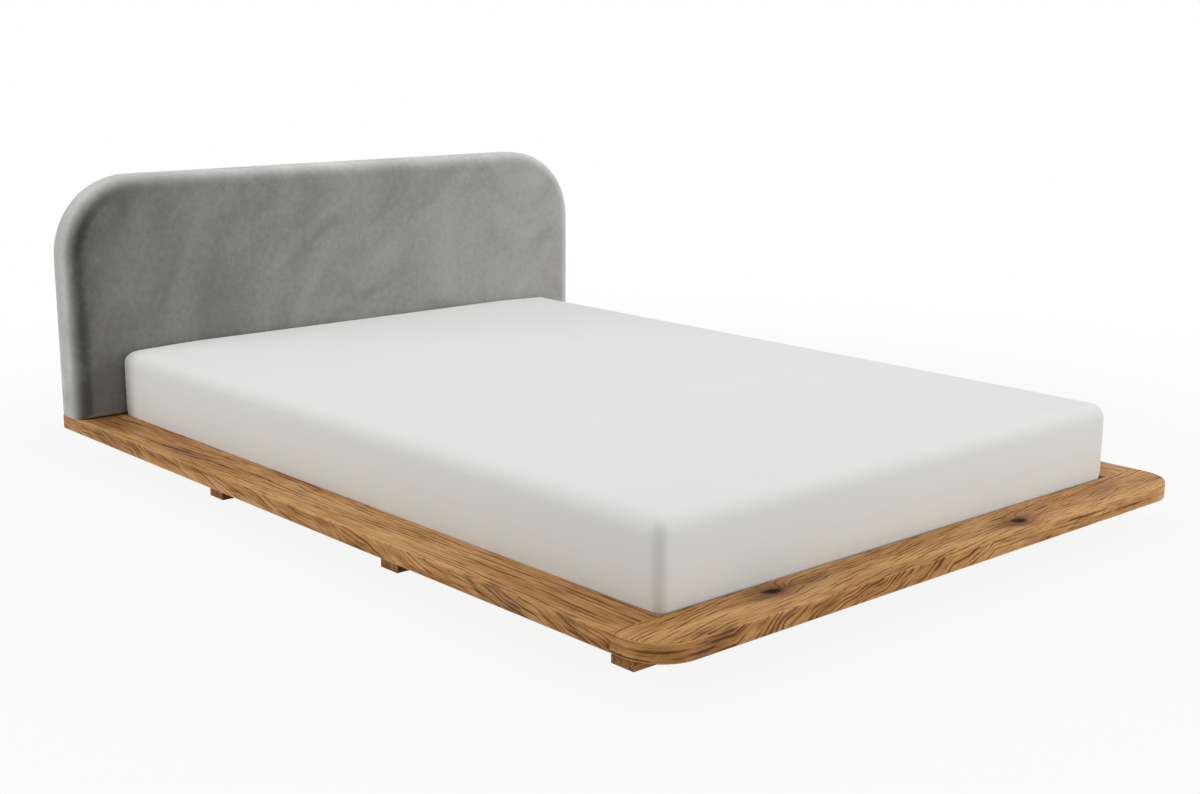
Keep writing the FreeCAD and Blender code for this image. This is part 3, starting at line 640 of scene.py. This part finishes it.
def outline(edges, radii, counts, inset):
    """Loop of points round an oblong that is moved inward by an inset.

    Edges are left, right, low, high; radii are for the low and the high corners; counts are the steps on a
    half arc at a low and a high corner, and on a whole level and upright side. A corner point is its arc's
    centre plus the radius along the turning angle. Four sides come back, each from the middle of one corner
    arc to the middle of the next, counterclockwise from the low left corner.
    """
    left, right, low, high = edges[0] + inset, edges[1] - inset, edges[2] + inset, edges[3] - inset
    low_radius, high_radius = (max(radius - inset, SMALLEST_ROUND) for radius in radii)
    low_steps, high_steps, level_steps, upright_steps = counts
    centres = np.array([
        (left + low_radius, low + low_radius), (right - low_radius, low + low_radius),
        (right - high_radius, high - high_radius), (left + high_radius, high - high_radius)])
    rounds = (low_radius, low_radius, high_radius, high_radius)
    steps = (low_steps, low_steps, high_steps, high_steps)
    whole = (level_steps, upright_steps, level_steps, upright_steps)
    sides = []
    for side in range(4):
        following = (side + 1) % 4
        # The middle of the low left arc faces 225 degrees, and each next one is a quarter turn on.
        first_angle = math.radians(225 + 90 * side)
        leaving = np.linspace(first_angle, first_angle + math.pi / 4, steps[side] + 1)
        joining = np.linspace(first_angle + math.pi / 4, first_angle + math.pi / 2, steps[following] + 1)
        start = centres[side] + rounds[side] * np.stack([np.cos(leaving), np.sin(leaving)], 1)
        end = centres[following] + rounds[following] * np.stack([np.cos(joining), np.sin(joining)], 1)
        share = np.linspace(0, 1, whole[side] - steps[side] - steps[following] + 1)[1:-1, None]
        straight = start[-1] * (1 - share) + end[0] * share
        sides.append(np.concatenate([start, straight, end]))
    return sides


def loop_of(sides):
    """The four sides as one loop with no point twice."""
    return np.concatenate([side[:-1] for side in sides])


print("outline helpers ready")

# %% [markdown]
# A face inside an outline is filled with a Coons patch: every inner point is the sum of the two straight
# blends between facing sides, less the blend of the four corners. Its points lie in rows and columns, so
# that there is no pole to pinch, and every face is a quad between neighbours.

# %% Patches and grids
def patch(sides):
    """Coons patch inside four sides, as a grid of points with the sides as its border."""
    low, right, high, left = sides[0], sides[1], sides[2][::-1], sides[3][::-1]
    u = np.linspace(0, 1, len(low))[None, :, None]
    v = np.linspace(0, 1, len(right))[:, None, None]
    between = low[None] * (1 - v) + high[None] * v + left[:, None] * (1 - u) + right[:, None] * u
    corners = (low[0] * (1 - u) * (1 - v) + low[-1] * u * (1 - v)
               + high[0] * (1 - u) * v + high[-1] * u * v)
    return between - corners


def grid_faces(indices):
    """Quads between neighbouring rows and columns of a grid of point numbers."""
    corners = indices[:-1, :-1], indices[:-1, 1:], indices[1:, 1:], indices[1:, :-1]
    return np.stack(corners, 2).reshape(-1, 4)


def border_places(rows, columns):
    """Rows and columns of a patch's border, in the order of loop_of."""
    low = [(0, column) for column in range(columns - 1)]
    right = [(row, columns - 1) for row in range(rows - 1)]
    high = [(rows - 1, column) for column in range(columns - 1, 0, -1)]
    left = [(row, 0) for row in range(rows - 1, 0, -1)]
    return np.array(low + right + high + left).T


print("patch helpers ready")

# %% [markdown]
# A cushion is the same outline drawn again and again at another inset and depth. These rings make its
# rounded edges and its sides, and a patch fills the first and the last ring, so that the mesh is closed.

# %% Cushions
EDGE_STEPS = 6


def rounded_profile(depth, back_radius, front_radius, side_steps):
    """Insets and depths of a section: quarter round, straight side, quarter round."""
    turns = np.linspace(0, math.pi / 2, EDGE_STEPS + 1)
    back = np.column_stack([back_radius * (1 - np.sin(turns)), back_radius * (1 - np.cos(turns))])
    front_depth = depth - front_radius * (1 - np.sin(turns))
    front = np.column_stack([front_radius * (1 - np.cos(turns)), front_depth])
    share = np.linspace(0, 1, side_steps + 1)[1:-1, None]
    side = back[-1] * (1 - share) + front[0] * share
    return np.concatenate([back, side, front])


def at_depth(points, depth):
    """Points of a plane with a depth as their third number."""
    return np.column_stack([points, np.full(len(points), depth)])


def cushion_points(edges, radii, counts, profile):
    """Points and quads of a closed cushion.

    The profile is a list of (inset, depth) from the back face to the front face. Every step is a ring, and
    the first and the last ring are filled with patches.
    """
    points = [at_depth(loop_of(outline(edges, radii, counts, inset)), depth) for inset, depth in profile]
    around = len(points[0])
    numbers = np.arange(around * len(profile)).reshape(len(profile), around)
    faces = [grid_faces(np.column_stack([numbers, numbers[:, :1]]))]
    used = numbers.size
    for ring, turn_over in ((0, True), (-1, False)):
        inset, depth = profile[ring]
        grid = patch(outline(edges, radii, counts, inset))
        indices = np.full(grid.shape[:2], -1)
        indices[tuple(border_places(*indices.shape))] = numbers[ring]
        inner = indices < 0
        indices[inner] = used + np.arange(inner.sum())
        used += inner.sum()
        points.append(at_depth(grid[inner], depth))
        quads = grid_faces(indices)
        faces.append(quads[:, ::-1] if turn_over else quads)
    return np.concatenate(points), np.concatenate(faces)


def rise(place, low, high, reach):
    """0 at both ends of a span and 1 where it is further than a reach from them, as an easing curve."""
    near_end = np.clip(np.minimum(place - low, high - place) / reach, 0, 1)
    return near_end * (2 - near_end)


def make_piece(name, points, faces, material):
    """A smooth mesh object at the origin from arrays of points and quads."""
    mesh = bpy.data.meshes.new(name)
    mesh.from_pydata(points.tolist(), [], faces.tolist())
    mesh.polygons.foreach_set("use_smooth", np.ones(len(mesh.polygons), bool))
    mesh.materials.append(material)
    mesh.update()
    piece = bpy.data.objects.new(name, mesh)
    SCENE.collection.objects.link(piece)
    return piece


print("cushion helpers ready")

# %% [markdown]
# Padding is under pressure, and that is what makes it look soft. Blender's cloth can be blown up like a
# balloon: it is run for a few frames with no gravity, each point is kept from moving too far, and the
# result is written back into the mesh, so no simulation is left on the piece. One level of subdivision then
# rounds the quads.

# %% Swelling by cloth simulation
SWELL_FRAMES = 20
SWELL_PRESSURE = 4.0


def mesh_points(mesh):
    """A mesh's points as an array."""
    points = np.empty(len(mesh.vertices) * 3)
    mesh.vertices.foreach_get("co", points)
    return points.reshape(-1, 3)


def swell(piece, held, cap):
    """Blow a closed mesh up as cloth. Held points stay, and a step of any length is eased below the cap."""
    mesh = piece.data
    rest = mesh_points(mesh)
    group = piece.vertex_groups.new(name="held")
    group.add(np.flatnonzero(held).tolist(), 1.0, "REPLACE")
    cloth = piece.modifiers.new("swell", "CLOTH")
    cloth.settings.vertex_group_mass = "held"
    cloth.settings.use_pressure = True
    cloth.settings.uniform_pressure_force = SWELL_PRESSURE
    cloth.settings.effector_weights.gravity = 0.0
    for number in range(1, SWELL_FRAMES + 1):
        SCENE.frame_set(number)
    step = mesh_points(piece.evaluated_get(bpy.context.evaluated_depsgraph_get()).data) - rest
    step *= cap / (cap + np.linalg.norm(step, axis=1, keepdims=True))
    piece.modifiers.remove(cloth)
    piece.vertex_groups.remove(group)
    SCENE.frame_set(1)
    mesh.vertices.foreach_set("co", (rest + step).ravel())
    mesh.update()
    farthest = float(np.linalg.norm(step, axis=1).max())
    print(piece.name, "swelled by up to", round(farthest * 1000, 1), "mm")


def smooth_out(piece):
    """One level of subdivision, on screen and in the render."""
    subdivision = piece.modifiers.new("smooth", "SUBSURF")
    subdivision.levels = 1
    subdivision.render_levels = 1


print("cloth runs for", SWELL_FRAMES, "frames")

# %% [markdown]
# The mattress is a foam block in a plain white stretch cover. Its base is let in between the boards, above
# them it swells a little over their edges, and at the head it is pressed square against the headboard. It
# has soft top edges, a low crown and no visible seam, so its whole look is in the light on its curves, a
# border painted a little darker and greener than the top as painted shade, and a fine knit.

# %% Mattress
# In metres: how far the cover stands past its solid, the tuck at its base, its rounds, crown and swell.
MATTRESS_SIDE_BULGE = 0.0040
MATTRESS_FOOT_BULGE = 0.0025
MATTRESS_HEAD_BULGE = 0.0025
MATTRESS_TOP_SHRINK = 0.0008
MATTRESS_TUCK = 0.0042
MATTRESS_TUCK_RISE = 0.014
MATTRESS_FOOT_CORNER = 0.028
MATTRESS_HEAD_CORNER = 0.005
MATTRESS_TOP_EDGE = 0.032
MATTRESS_BASE_EDGE = 0.014
MATTRESS_CROWN = 0.007
MATTRESS_CROWN_REACH = 0.24
MATTRESS_SWELL = 0.0018
# Mesh steps: on half an arc at the foot and at the head, across, along, and up the straight side.
MATTRESS_COUNTS = (4, 4, 50, 72)
MATTRESS_SIDE_STEPS = 12
TOP_WHITES = rgb(0.780, 0.780, 0.775), rgb(0.820, 0.820, 0.817)
SHADED_BORDER_WHITES = rgb(0.750, 0.762, 0.735), rgb(0.785, 0.797, 0.768)
SHADED_BORDER_FADE = (0.255, 0.281)
KNIT_WAVES = (2600.0, 1900.0)


def knit_cover(name):
    """White knitted cover: a faint cloudy tone, and rows of loops 2 to 3 mm wide in the bump."""
    material, shader, place = new_finish(name, {"Sheen Weight": 0.15, "Sheen Roughness": 0.5})
    clouds = noise(place, 2.2, detail=3.0, roughness=0.55)
    x, y, z = split(place)
    # Below the top edge the cover turns to the darker border whites: painted shade on the sides.
    colour = mix(z.fade(*SHADED_BORDER_FADE), mix(clouds, *SHADED_BORDER_WHITES), mix(clouds, *TOP_WHITES))
    loops = (x * KNIT_WAVES[0]).maths("SINE") * ((y + z) * KNIT_WAVES[1]).maths("SINE")
    slub = noise(place, 160.0)
    look(shader, colour, 0.88 + slub * 0.1, loops * 0.3 + slub, distance=0.0004, strength=0.35)
    return material


def mattress_profile(depth, board_top):
    """Insets and depths of the mattress's section: tucked in below the boards' top, wider above it."""
    profile = rounded_profile(depth, MATTRESS_BASE_EDGE, MATTRESS_TOP_EDGE, MATTRESS_SIDE_STEPS)
    rise_share = np.clip((profile[:, 1] - board_top) / MATTRESS_TUCK_RISE, 0, 1)
    profile[:, 0] += MATTRESS_TUCK * (1 - rise_share) ** 2
    return profile


def make_mattress():
    """The mattress as a cushion on its back: a point's height is its depth in the section plus a crown.

    The crown is the product of a rise from both sides and one from the foot, which keeps on to the head.
    """
    low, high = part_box("mattress_cover")
    board_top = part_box("foot_rail")[1].z
    edges = (low.x - MATTRESS_SIDE_BULGE, high.x + MATTRESS_SIDE_BULGE,
             low.y - MATTRESS_FOOT_BULGE, high.y + MATTRESS_HEAD_BULGE)
    depth = high.z - low.z - MATTRESS_CROWN - MATTRESS_TOP_SHRINK
    profile = mattress_profile(depth, board_top - low.z)
    radii = MATTRESS_FOOT_CORNER, MATTRESS_HEAD_CORNER
    points, faces = cushion_points(edges, radii, MATTRESS_COUNTS, profile)
    on_top = points[:, 2] > depth - MATTRESS_TOP_EDGE / 2
    crown = (rise(points[:, 0], edges[0], edges[1], MATTRESS_CROWN_REACH)
             * rise(points[:, 1], edges[2], edges[3] + MATTRESS_CROWN_REACH, MATTRESS_CROWN_REACH))
    points[:, 2] += low.z + crown * on_top * MATTRESS_CROWN
    piece = make_piece("mattress", points, faces, knit_cover("mattress_knit"))
    swell(piece, points[:, 2] < board_top + MATTRESS_TUCK_RISE / 4, MATTRESS_SWELL)
    smooth_out(piece)
    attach(piece, "mattress")
    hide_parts("mattress_cover", "mattress_core")
    return piece


mattress = make_mattress()
print("mattress of", len(mattress.data.polygons), "quads")

# %% [markdown]
# Velvet is a short upright pile. Seen end on, light falls in between its fibres and it looks dark; seen
# from the side, their flanks catch the light and it looks pale. So two shaders are mixed by the angle of
# sight: the Layer Weight node gives it as one less its cosine, and a power of its sine is the share of the
# pale one. The panel then darkens where it turns to the viewer and gleams along its edges. Brushing leaves
# soft slanting strokes in the pile. The colour is also painted paler towards the right end, as a painted
# sheen, and darker towards its foot, down by the boards.

# %% Velvet
VELVET_DARK = rgb(0.046, 0.047, 0.045), rgb(0.116, 0.116, 0.111)
VELVET_PALE = rgb(0.545, 0.547, 0.529), rgb(0.765, 0.765, 0.742)
VELVET_DARKER_BELOW = (0.09, 0.24)
VELVET_RELIEF = 0.0012
MOTTLE_SCALE = 56.0
PILE_SCALE = 700.0


def velvet(name):
    """Grey velvet: one dark and one pale shader, mixed by the angle of sight, both with brushed clouds."""
    material, end_on, place = new_finish(name, {"Specular IOR Level": 0.05})
    x, y, z = split(place)
    warp = noise(place, 2.6, detail=1.0) - 0.5
    strokes = noise(vector((x + z) * 3.0 + warp * 2.0, y * 5.0, (z - x) * 6.5 + warp * 5.0))
    mottle = noise(place, MOTTLE_SCALE, detail=4.0, roughness=0.8)
    pile = noise(place, PILE_SCALE, detail=1.0)
    # The share of x makes the panel paler towards its right end: a painted sheen.
    tone = (strokes * 0.50 + mottle * 0.40 + pile * 0.10 + x * 0.10).fade(0.28, 0.72)
    roughness = 0.80 + pile * 0.15
    # The end-on colour grows darker towards the foot, below the second height of VELVET_DARKER_BELOW.
    dark = mix(tone * z.fade(*VELVET_DARKER_BELOW), *VELVET_DARK)
    pale = mix(tone, *VELVET_PALE)
    relief = pile * 0.4 + mottle * 0.4
    normal = look(end_on, dark, roughness, relief, distance=VELVET_RELIEF, strength=0.3)
    sockets = {"Base Color": pale, "Roughness": roughness, "Specular IOR Level": 0.0, "Normal": normal}
    side_on = tone.node("BsdfPrincipled", sockets=sockets)
    facing = tone.node("LayerWeight", sockets={"Blend": 0.5, "Normal": normal}, output="Facing")
    slant = (facing * (2 - facing)) ** 0.95
    show(material, tone.node("MixShader", sockets={0: slant, 1: Wire(end_on.outputs[0]), 2: side_on}))
    return material


grey_velvet = velvet("grey_velvet")
# Below this height the velvet's end-on colour grows darker towards its foot.
print("velvet darker below", VELVET_DARKER_BELOW[1], "m over the floor")

# %% [markdown]
# The headboard is a stiff panel wrapped in foam and the velvet, stapled at the back. Its front is one
# smooth stretch of cloth that rolls softly over the edges. Its own weight flattens it on the boards, so all
# heights near its foot are squeezed: the roll there turns under within a centimetre and leaves a dark line
# of shadow. The back and the underside are held, and the front and the sides swell, until the cloth stands
# a few millimetres past the sides of the solid it replaces.

# %% Headboard upholstery
# In metres, and the squeeze as a share: growth past the solid, rounds, squeeze, crown and swell.
HEADBOARD_SIDE_GROWTH = 0.006
HEADBOARD_TOP_GROWTH = 0.002
HEADBOARD_FRONT_SHRINK = 0.001
HEADBOARD_TOP_CORNER = 0.206
HEADBOARD_BASE_CORNER = 0.014
HEADBOARD_FRONT_EDGE = 0.037
HEADBOARD_BACK_EDGE = 0.024
HEADBOARD_BASE_SQUEEZE = 0.9
HEADBOARD_SQUEEZE_REACH = 0.35
HEADBOARD_CROWN = 0.004
HEADBOARD_CROWN_REACH = 0.20
HEADBOARD_SWELL = 0.0024
# Mesh steps: on half an arc at the base and at the top, across, up, and from back to front.
HEADBOARD_COUNTS = (3, 9, 76, 32)
HEADBOARD_SIDE_STEPS = 5


def make_headboard():
    """The headboard as a cushion stood up: the outline gives places across and up, and depth runs forward.

    The crown is the product of a rise from both sides and one from the foot and the top. A height over the
    foot is multiplied by one less a squeeze, which is its greatest value times the square of one less the
    height's share of the reach.
    """
    low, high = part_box("headboard_cover")
    edges = (low.x - HEADBOARD_SIDE_GROWTH, high.x + HEADBOARD_SIDE_GROWTH,
             low.z, high.z + HEADBOARD_TOP_GROWTH)
    depth = high.y - low.y - HEADBOARD_CROWN - HEADBOARD_FRONT_SHRINK
    profile = rounded_profile(depth, HEADBOARD_BACK_EDGE, HEADBOARD_FRONT_EDGE, HEADBOARD_SIDE_STEPS)
    radii = HEADBOARD_BASE_CORNER, HEADBOARD_TOP_CORNER
    points, faces = cushion_points(edges, radii, HEADBOARD_COUNTS, profile)
    across, up, forward = points.T
    on_front = forward > depth - HEADBOARD_FRONT_EDGE / 2
    crown = (rise(across, edges[0], edges[1], HEADBOARD_CROWN_REACH)
             * rise(up, edges[2], edges[3], HEADBOARD_CROWN_REACH))
    forward = forward + crown * on_front * HEADBOARD_CROWN
    lift = up - low.z
    squeeze = HEADBOARD_BASE_SQUEEZE * np.clip(1 - lift / HEADBOARD_SQUEEZE_REACH, 0, 1) ** 2
    up = low.z + lift * (1 - squeeze)
    points = np.column_stack([across, high.y - forward, up])
    piece = make_piece("headboard_upholstery", points, faces, grey_velvet)
    held = (forward < HEADBOARD_BACK_EDGE / 2) | (up < low.z + HEADBOARD_BASE_CORNER / 4)
    swell(piece, held, HEADBOARD_SWELL)
    smooth_out(piece)
    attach(piece, "bed_frame")
    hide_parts("headboard_cover", "headboard_foam")
    return piece


headboard = make_headboard()
print("headboard of", len(headboard.data.polygons), "quads")

# %% [markdown]
# Black lining closes the back of the headboard. It is a thin sheet, stapled flat, so a patch inside the
# same kind of outline is enough, with a slight slackness between its fixed edges.

# %% Back lining
LINING_CORNER = 0.160
LINING_BASE_CORNER = 0.004
LINING_COUNTS = (2, 8, 60, 20)
LINING_STAND_OFF = 0.0008
LINING_SLACK = 0.0006
LINING_SLACK_REACH = 0.1
LINING_WAVES = (9.0, 23.0)
LINING_THICKNESS = 0.0008
LINING_BLACKS = rgb(0.010, 0.010, 0.012), rgb(0.040, 0.040, 0.043)
WEAVE_WAVES = 2400.0


def lining_cloth(name):
    """Black spun lining: a fine crossed texture with faint grey fibres."""
    material, shader, place = new_finish(name)
    x, y, z = split(place)
    weave = (x * WEAVE_WAVES).maths("SINE") * (z * WEAVE_WAVES).maths("SINE")
    fibres = noise(vector(x * 300.0, y, z * 120.0), detail=3.0)
    colour = mix(fibres, *LINING_BLACKS)
    look(shader, colour, 0.90 + fibres * 0.1, weave * 0.4 + fibres, distance=0.0004, strength=0.4)
    return material


def make_lining():
    """The lining as one patch, a stand-off behind its solid's back, with a thickness added to it.

    Its slack is a sine of the place across and up, times a rise from each edge.
    """
    low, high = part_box("headboard_back_cloth")
    edges = (low.x, high.x, low.z, high.z)
    grid = patch(outline(edges, (LINING_BASE_CORNER, LINING_CORNER), LINING_COUNTS, 0.0))
    across, up = grid[..., 0], grid[..., 1]
    slack = rise(across, low.x, high.x, LINING_SLACK_REACH) * rise(up, low.z, high.z, LINING_SLACK_REACH)
    wave = np.sin(across * LINING_WAVES[0] + up * LINING_WAVES[1])
    back = high.y + LINING_STAND_OFF + LINING_SLACK * slack * wave
    points = np.stack([across, back, up], 2).reshape(-1, 3)
    faces = grid_faces(np.arange(len(points)).reshape(grid.shape[:2]))[:, ::-1]
    piece = make_piece("headboard_lining", points, faces, lining_cloth("black_lining"))
    thickness = piece.modifiers.new("thickness", "SOLIDIFY")
    thickness.thickness = LINING_THICKNESS
    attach(piece, "bed_frame")
    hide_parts("headboard_back_cloth")


make_lining()

# %% [markdown]
# Ten felt discs keep the beams and the spine off the floor. Each is a low profile spun round its own axis,
# with a bevelled rim, and all ten share one mesh because they are one kind of piece.

# %% Felt pads
PAD_RADIUS = 0.020
PAD_RIM = 0.0012
PAD_STEPS = 28
PAD_END_INSET = 0.040
FELT_BROWNS = rgb(0.040, 0.034, 0.028), rgb(0.130, 0.112, 0.094)
FELT_SCALE = 700.0


def felt(name):
    """Pressed wool felt: tangled fibres in tone and bump."""
    material, shader, place = new_finish(name, {"Sheen Weight": 0.3})
    fibres = noise(place, FELT_SCALE, detail=4.0, roughness=0.7)
    colour = mix(fibres, *FELT_BROWNS)
    look(shader, colour, 0.90 + fibres * 0.1, fibres, distance=0.0008, strength=0.7)
    return material


def pad_middles():
    """Three pads under each beam and one under the head end of the spine."""
    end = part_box("cross_beam_foot")[1].x - PAD_END_INSET
    beams = [node_middle(f"cross_beam_{bay}").y for bay in ("foot", "middle", "head")]
    spine_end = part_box("centre_spine")[1].y - PAD_END_INSET
    return [(x, y) for y in beams for x in (-end, 0.0, end)] + [(0.0, spine_end)]


def disc_mesh(thickness):
    """Points and faces of one disc: a rim of (radius, height) turned in a circle, and two flat faces."""
    rim = [(PAD_RADIUS - PAD_RIM, 0.0), (PAD_RADIUS, PAD_RIM),
           (PAD_RADIUS, thickness - PAD_RIM), (PAD_RADIUS - PAD_RIM, thickness)]
    angles = np.linspace(0, 2 * math.pi, PAD_STEPS, endpoint=False)
    circle = np.stack([np.cos(angles), np.sin(angles)], 1)
    points = np.concatenate([at_depth(circle * radius, height) for radius, height in rim])
    numbers = np.arange(len(points)).reshape(len(rim), PAD_STEPS)
    band = grid_faces(np.column_stack([numbers, numbers[:, :1]]))
    return points, band.tolist() + [numbers[0][::-1].tolist(), numbers[-1].tolist()]


def make_pads():
    """All discs as one piece: each is the same disc moved to its place, with its numbers counted on."""
    low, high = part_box("felt_pads")
    disc, disc_faces = disc_mesh(high.z - low.z)
    points, faces = [], []
    for index, (x, y) in enumerate(pad_middles()):
        points.append(disc + np.array([x, y, low.z]))
        faces += [[number + index * len(disc) for number in face] for face in disc_faces]
    mesh = bpy.data.meshes.new("felt_discs")
    mesh.from_pydata(np.concatenate(points).tolist(), [], faces)
    mesh.materials.append(felt("brown_felt"))
    piece = bpy.data.objects.new("felt_discs", mesh)
    SCENE.collection.objects.link(piece)
    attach(piece, "bed_frame")
    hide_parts("felt_pads")
    print(len(points), "felt discs", round((high.z - low.z) * 1000, 1), "mm thick")


make_pads()
